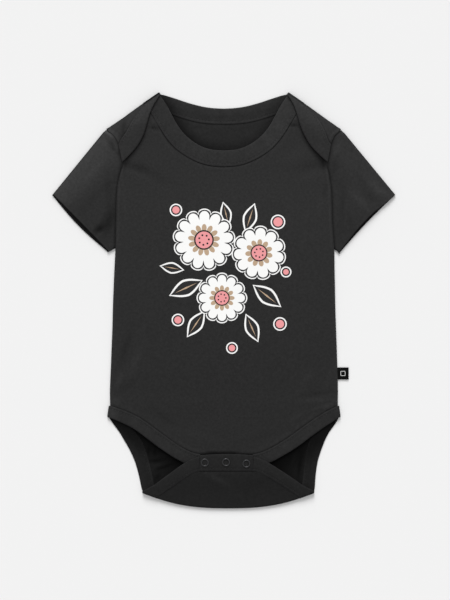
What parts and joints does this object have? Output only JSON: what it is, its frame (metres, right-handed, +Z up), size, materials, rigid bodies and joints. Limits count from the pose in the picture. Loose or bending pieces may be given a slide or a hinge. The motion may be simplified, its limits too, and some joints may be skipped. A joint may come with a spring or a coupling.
{
  "type": "baby bodysuit",
  "caption": "Short-sleeved baby bodysuit with envelope shoulders and a snapped crotch flap, laid flat with its front up.",
  "frame": {"origin": "on the table, under the middle of the laid garment's box", "axes": "+X to the right as the garment is seen, +Y from the crotch to the neck, +Z up from the table, front of the garment up"},
  "size_m": [0.3438, 0.4165, 0.0085],
  "materials": {
    "jersey": "matt charcoal-black cotton jersey with a fine knit and a soft nap",
    "binding": "the same jersey folded double over the edges, with a twin needle stitch line",
    "label": "smooth woven black tape",
    "snap_metal": "dark lacquered ring snaps, half gloss"
  },
  "bodies": {
    "root": {"front_panel": "jersey", "back_panel": "jersey", "sleeve_left": "jersey", "sleeve_right": "jersey", "neck_binding_front": "binding", "neck_binding_back": "binding", "leg_binding_left": "binding", "leg_binding_right": "binding", "snap_placket_front": "binding", "snap_placket_back": "binding", "side_label": "label", "snap_ring_1": "snap_metal", "snap_socket_1": "snap_metal", "snap_stud_1": "snap_metal", "snap_ring_2": "snap_metal", "snap_socket_2": "snap_metal", "snap_stud_2": "snap_metal", "snap_ring_3": "snap_metal", "snap_socket_3": "snap_metal", "snap_stud_3": "snap_metal"}
  },
  "joints": []
}
